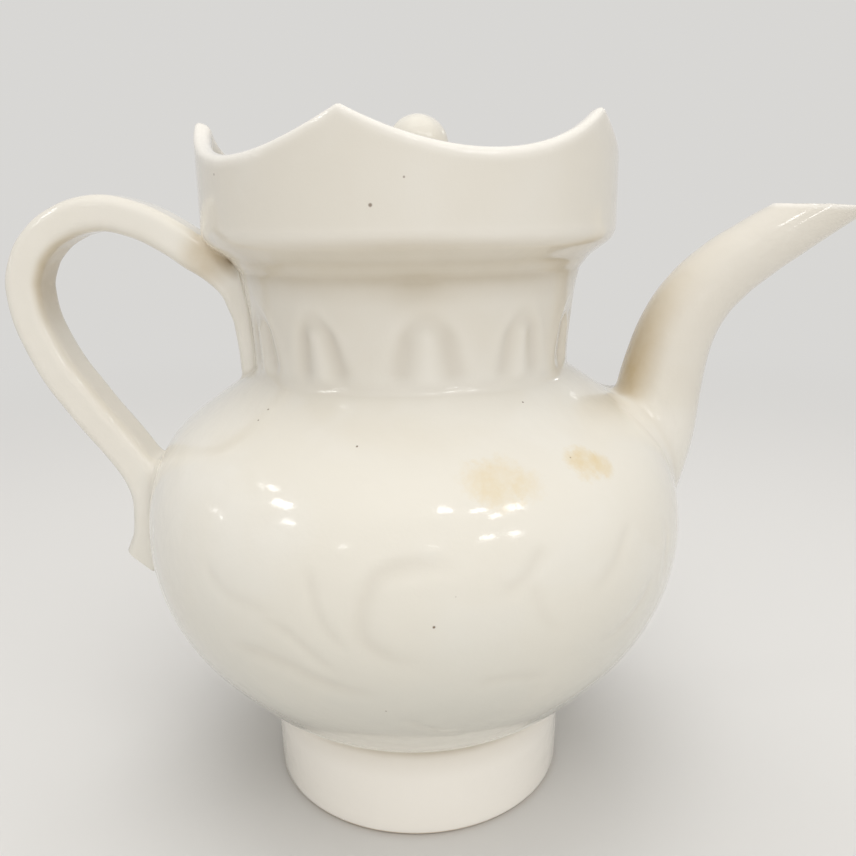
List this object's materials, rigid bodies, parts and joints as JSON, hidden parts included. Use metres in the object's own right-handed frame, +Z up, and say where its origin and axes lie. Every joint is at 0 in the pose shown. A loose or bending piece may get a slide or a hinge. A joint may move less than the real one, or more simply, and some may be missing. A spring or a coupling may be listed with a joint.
{
  "type": "porcelain ewer",
  "caption": "Round-bellied white porcelain ewer with a flower-shaped crown rim, carved neck, curved spout, strap handle and loose inner lid.",
  "frame": {"origin": "centre of the foot ring on the surface that the ewer stands on, on the axis it was thrown about", "axes": "+Z up along the axis of belly, neck and mouth; +X from the axis towards the spout; the handle is on -X"},
  "size_m": [0.2528, 0.1614, 0.2022],
  "materials": {
    "foot_glaze": "glossy",
    "belly_glaze": "glossy",
    "neck_glaze": "glossy",
    "cup_glaze": "glossy",
    "lid_glaze": "glossy",
    "spout_glaze": "glossy",
    "handle_glaze": "glossy"
  },
  "bodies": {
    "ewer": {"foot_ring": "foot_glaze", "belly_lower_bowl": "belly_glaze", "belly_upper_dome": "belly_glaze", "neck_with_carved_petals": "neck_glaze", "mouth_cup_with_flower_rim": "cup_glaze", "spout": "spout_glaze", "handle_strap": "handle_glaze"},
    "lid": {"lid_disc": "lid_glaze", "lid_locating_flange": "lid_glaze", "lid_bud_knob": "lid_glaze"}
  },
  "joints": [
    {"name": "lid_lift", "type": "slide", "parent": "ewer", "child": "lid", "axis": [0, 0, 1], "range_m": [0, 0.06]}
  ]
}
